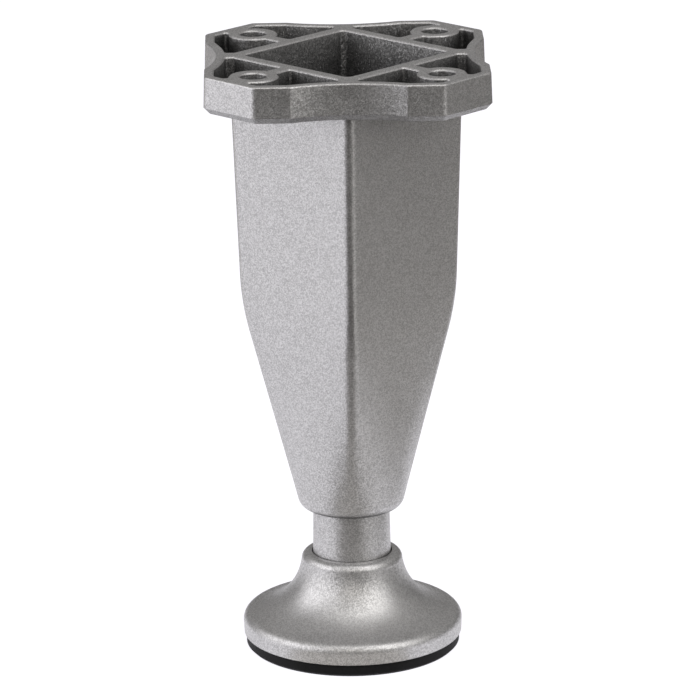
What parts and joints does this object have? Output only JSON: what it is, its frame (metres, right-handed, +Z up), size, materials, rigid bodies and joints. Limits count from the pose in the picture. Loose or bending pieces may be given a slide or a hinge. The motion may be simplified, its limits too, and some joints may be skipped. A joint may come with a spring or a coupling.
{
  "type": "adjustable furniture foot",
  "caption": "Adjustable furniture foot: die-cast square leg tapering to a round collar, cored screw flange on top, bell-shaped base on a screwed stem, black floor pad.",
  "frame": {"origin": "on the floor under the middle of the foot, at the pad's underside", "axes": "+Z up along the leg, +X and +Y square to the flange's sides"},
  "size_m": [0.0492, 0.0492, 0.108],
  "materials": {
    "silver_lacquer": "satin metallic lacquer with a fine grain",
    "plated_steel": "zinc plated",
    "black_pad": "matte"
  },
  "bodies": {
    "leg": {"leg_body": "silver_lacquer"},
    "pad": {"floor_pad": "black_pad"},
    "foot": {"foot_base": "silver_lacquer", "stem": "silver_lacquer", "adjusting_bolt": "plated_steel"}
  },
  "joints": [
    {"name": "foot_height", "type": "slide", "parent": "leg", "child": "pad", "axis": [0, 0, -1], "range_m": [-0.008, 0.007]},
    {"name": "foot_turn", "type": "hinge", "parent": "pad", "child": "foot", "pos_m": [0, 0, 0], "axis": [0, 0, -1], "range_deg": [-2300, 2010]}
  ],
  "couplings": [
    {"joint": "foot_height", "follows": "foot_turn", "m_per_rad": 0.00019894}
  ]
}
